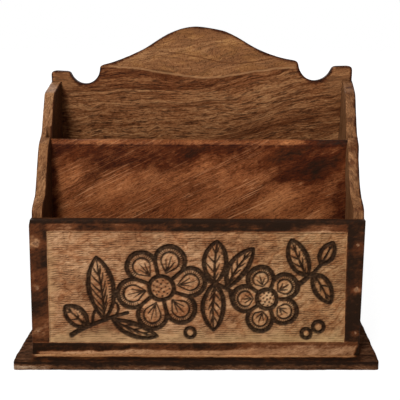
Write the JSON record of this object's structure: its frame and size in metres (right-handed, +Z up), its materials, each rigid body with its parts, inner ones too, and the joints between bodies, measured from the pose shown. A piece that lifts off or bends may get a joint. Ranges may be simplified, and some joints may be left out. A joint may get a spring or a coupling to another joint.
{
  "type": "letter rack",
  "caption": "Wooden desk-top letter rack with a front and a back compartment, a low carved front panel, stepped sides and a crested back panel on a wider base board.",
  "frame": {"origin": "middle of the base board's underside, which is the surface the rack stands on", "axes": "+Z up, +X to the right seen from the front, the carved front panel faces -Y"},
  "size_m": [0.264, 0.132, 0.2434],
  "materials": {
    "base_wood": "oiled, scorched dark all round",
    "front_wood": "oiled, scorched border and a tan carved field",
    "back_wood": "oiled, scorched along the sawn edge",
    "side_wood": "oiled, scorched along the sawn edge",
    "divider_wood": "oiled, scorched in patches",
    "filler": "matt pale wood filler",
    "nail_steel": "bright wire brad",
    "screw_steel": "plated countersunk wood screw"
  },
  "bodies": {
    "root": {"base_board": "base_wood", "front_panel": "front_wood", "back_panel": "back_wood", "left_side": "side_wood", "right_side": "side_wood", "divider": "divider_wood", "front_nails": "nail_steel", "front_nail_filler": "filler", "back_nails": "nail_steel", "back_nail_filler": "filler", "base_screws": "screw_steel"}
  },
  "joints": []
}
